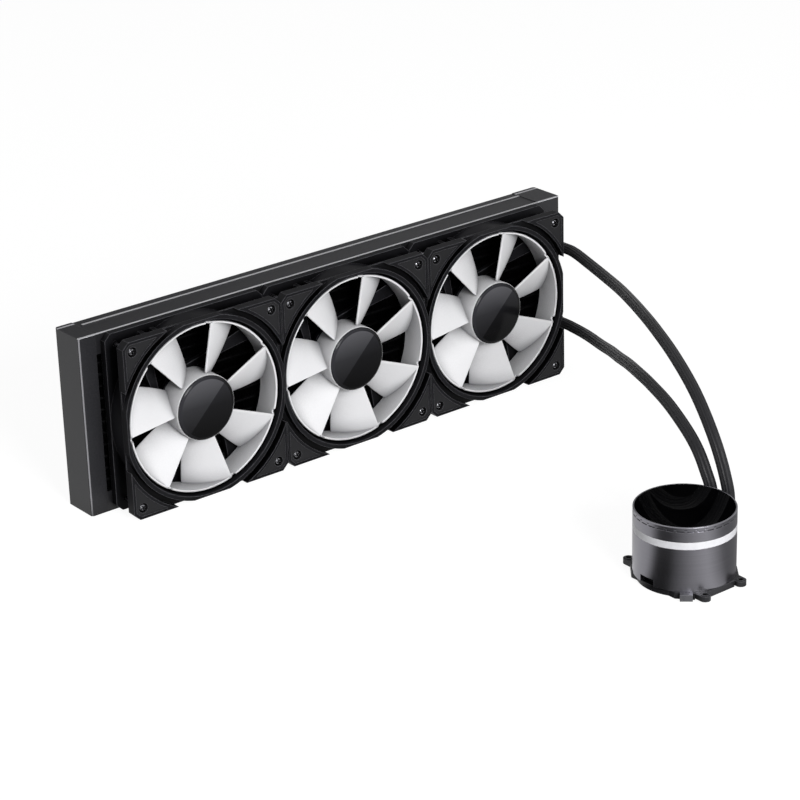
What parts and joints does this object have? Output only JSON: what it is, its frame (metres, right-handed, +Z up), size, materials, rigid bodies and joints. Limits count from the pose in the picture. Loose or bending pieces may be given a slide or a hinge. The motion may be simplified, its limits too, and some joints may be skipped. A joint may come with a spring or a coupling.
{
  "type": "liquid cooler",
  "caption": "Liquid cooler for a computer processor: long radiator with a row of ringed fans, two sleeved hoses and a round pump head with a glass top.",
  "frame": {"origin": "centre of the part's box without its hoses, at the desk on which the radiator and the pump head stand", "axes": "+X along the radiator towards its hose ports, +Y from the pump head to the radiator, +Z up"},
  "size_m": [0.3936, 0.3682, 0.12],
  "materials": {
    "painted_metal": "satin powder coat",
    "black_aluminium": "black coated",
    "frame_plastic": "fine moulded",
    "fitting_metal": "satin",
    "body_metal": "turned and anodised",
    "light_diffuser": "milky",
    "black_glass": "polished",
    "circuit_board": "solder mask",
    "dark_plastic": "moulded",
    "copper_winding": "lacquered wire",
    "white_plastic": "moulded",
    "steel": "turned",
    "copper": "machined copper",
    "rubber": "matte",
    "bracket_metal": "satin",
    "hose_sleeve": "braided sleeve",
    "gloss_cap": "polished",
    "bronze": "sintered",
    "black_steel": "blackened"
  },
  "bodies": {
    "cooler": {"tank_plain": "painted_metal", "tank_port": "painted_metal", "side_plate_top": "painted_metal", "side_plate_bottom": "painted_metal", "flat_tubes": "black_aluminium", "fins": "black_aluminium", "fill_plug": "frame_plastic", "port_upper": "fitting_metal", "port_lower": "fitting_metal", "fan_frame_left": "frame_plastic", "fan_frame_mid": "frame_plastic", "fan_frame_right": "frame_plastic", "fan_bearing_left": "bronze", "fan_bearing_mid": "bronze", "fan_bearing_right": "bronze", "fan_stator_left": "copper_winding", "fan_stator_mid": "copper_winding", "fan_stator_right": "copper_winding", "fan_board_left": "circuit_board", "fan_board_mid": "circuit_board", "fan_board_right": "circuit_board", "corner_pads_left": "rubber", "corner_pads_mid": "rubber", "corner_pads_right": "rubber", "fan_screws_left": "black_steel", "fan_screws_mid": "black_steel", "fan_screws_right": "black_steel", "pump_housing": "body_metal", "light_ring": "light_diffuser", "top_ring": "body_metal", "glass_cover": "black_glass", "display_board": "circuit_board", "control_board": "circuit_board", "pump_chamber": "dark_plastic", "chamber_plate": "dark_plastic", "pump_stator": "copper_winding", "pump_shaft": "steel", "cable_socket": "dark_plastic", "cold_plate": "copper", "plate_seal": "rubber", "plate_screws": "steel", "mount_bracket": "bracket_metal", "ear_bushings": "steel", "bracket_key": "fitting_metal", "elbow_upper": "dark_plastic", "elbow_lower": "dark_plastic", "hose_collars": "dark_plastic", "hose_upper": "hose_sleeve", "hose_lower": "hose_sleeve"},
    "rotor_left_body": {"rotor_left": "white_plastic", "hub_cap_left": "gloss_cap", "fan_shaft_left": "steel"},
    "rotor_mid_body": {"rotor_mid": "white_plastic", "hub_cap_mid": "gloss_cap", "fan_shaft_mid": "steel"},
    "rotor_right_body": {"rotor_right": "white_plastic", "hub_cap_right": "gloss_cap", "fan_shaft_right": "steel"},
    "impeller_body": {"impeller": "white_plastic"}
  },
  "joints": [
    {"name": "fan_spin_left", "type": "hinge", "parent": "cooler", "child": "rotor_left_body", "pos_m": [-0.1215, 0.1441, 0.06], "axis": [0, 1, 0], "continuous": true},
    {"name": "fan_spin_mid", "type": "hinge", "parent": "cooler", "child": "rotor_mid_body", "pos_m": [-0.0015, 0.1441, 0.06], "axis": [0, 1, 0], "continuous": true},
    {"name": "fan_spin_right", "type": "hinge", "parent": "cooler", "child": "rotor_right_body", "pos_m": [0.1185, 0.1441, 0.06], "axis": [0, 1, 0], "continuous": true},
    {"name": "impeller_spin", "type": "hinge", "parent": "cooler", "child": "impeller_body", "pos_m": [0.0215, -0.1484, 0.014], "axis": [0, 0, 1], "continuous": true}
  ]
}
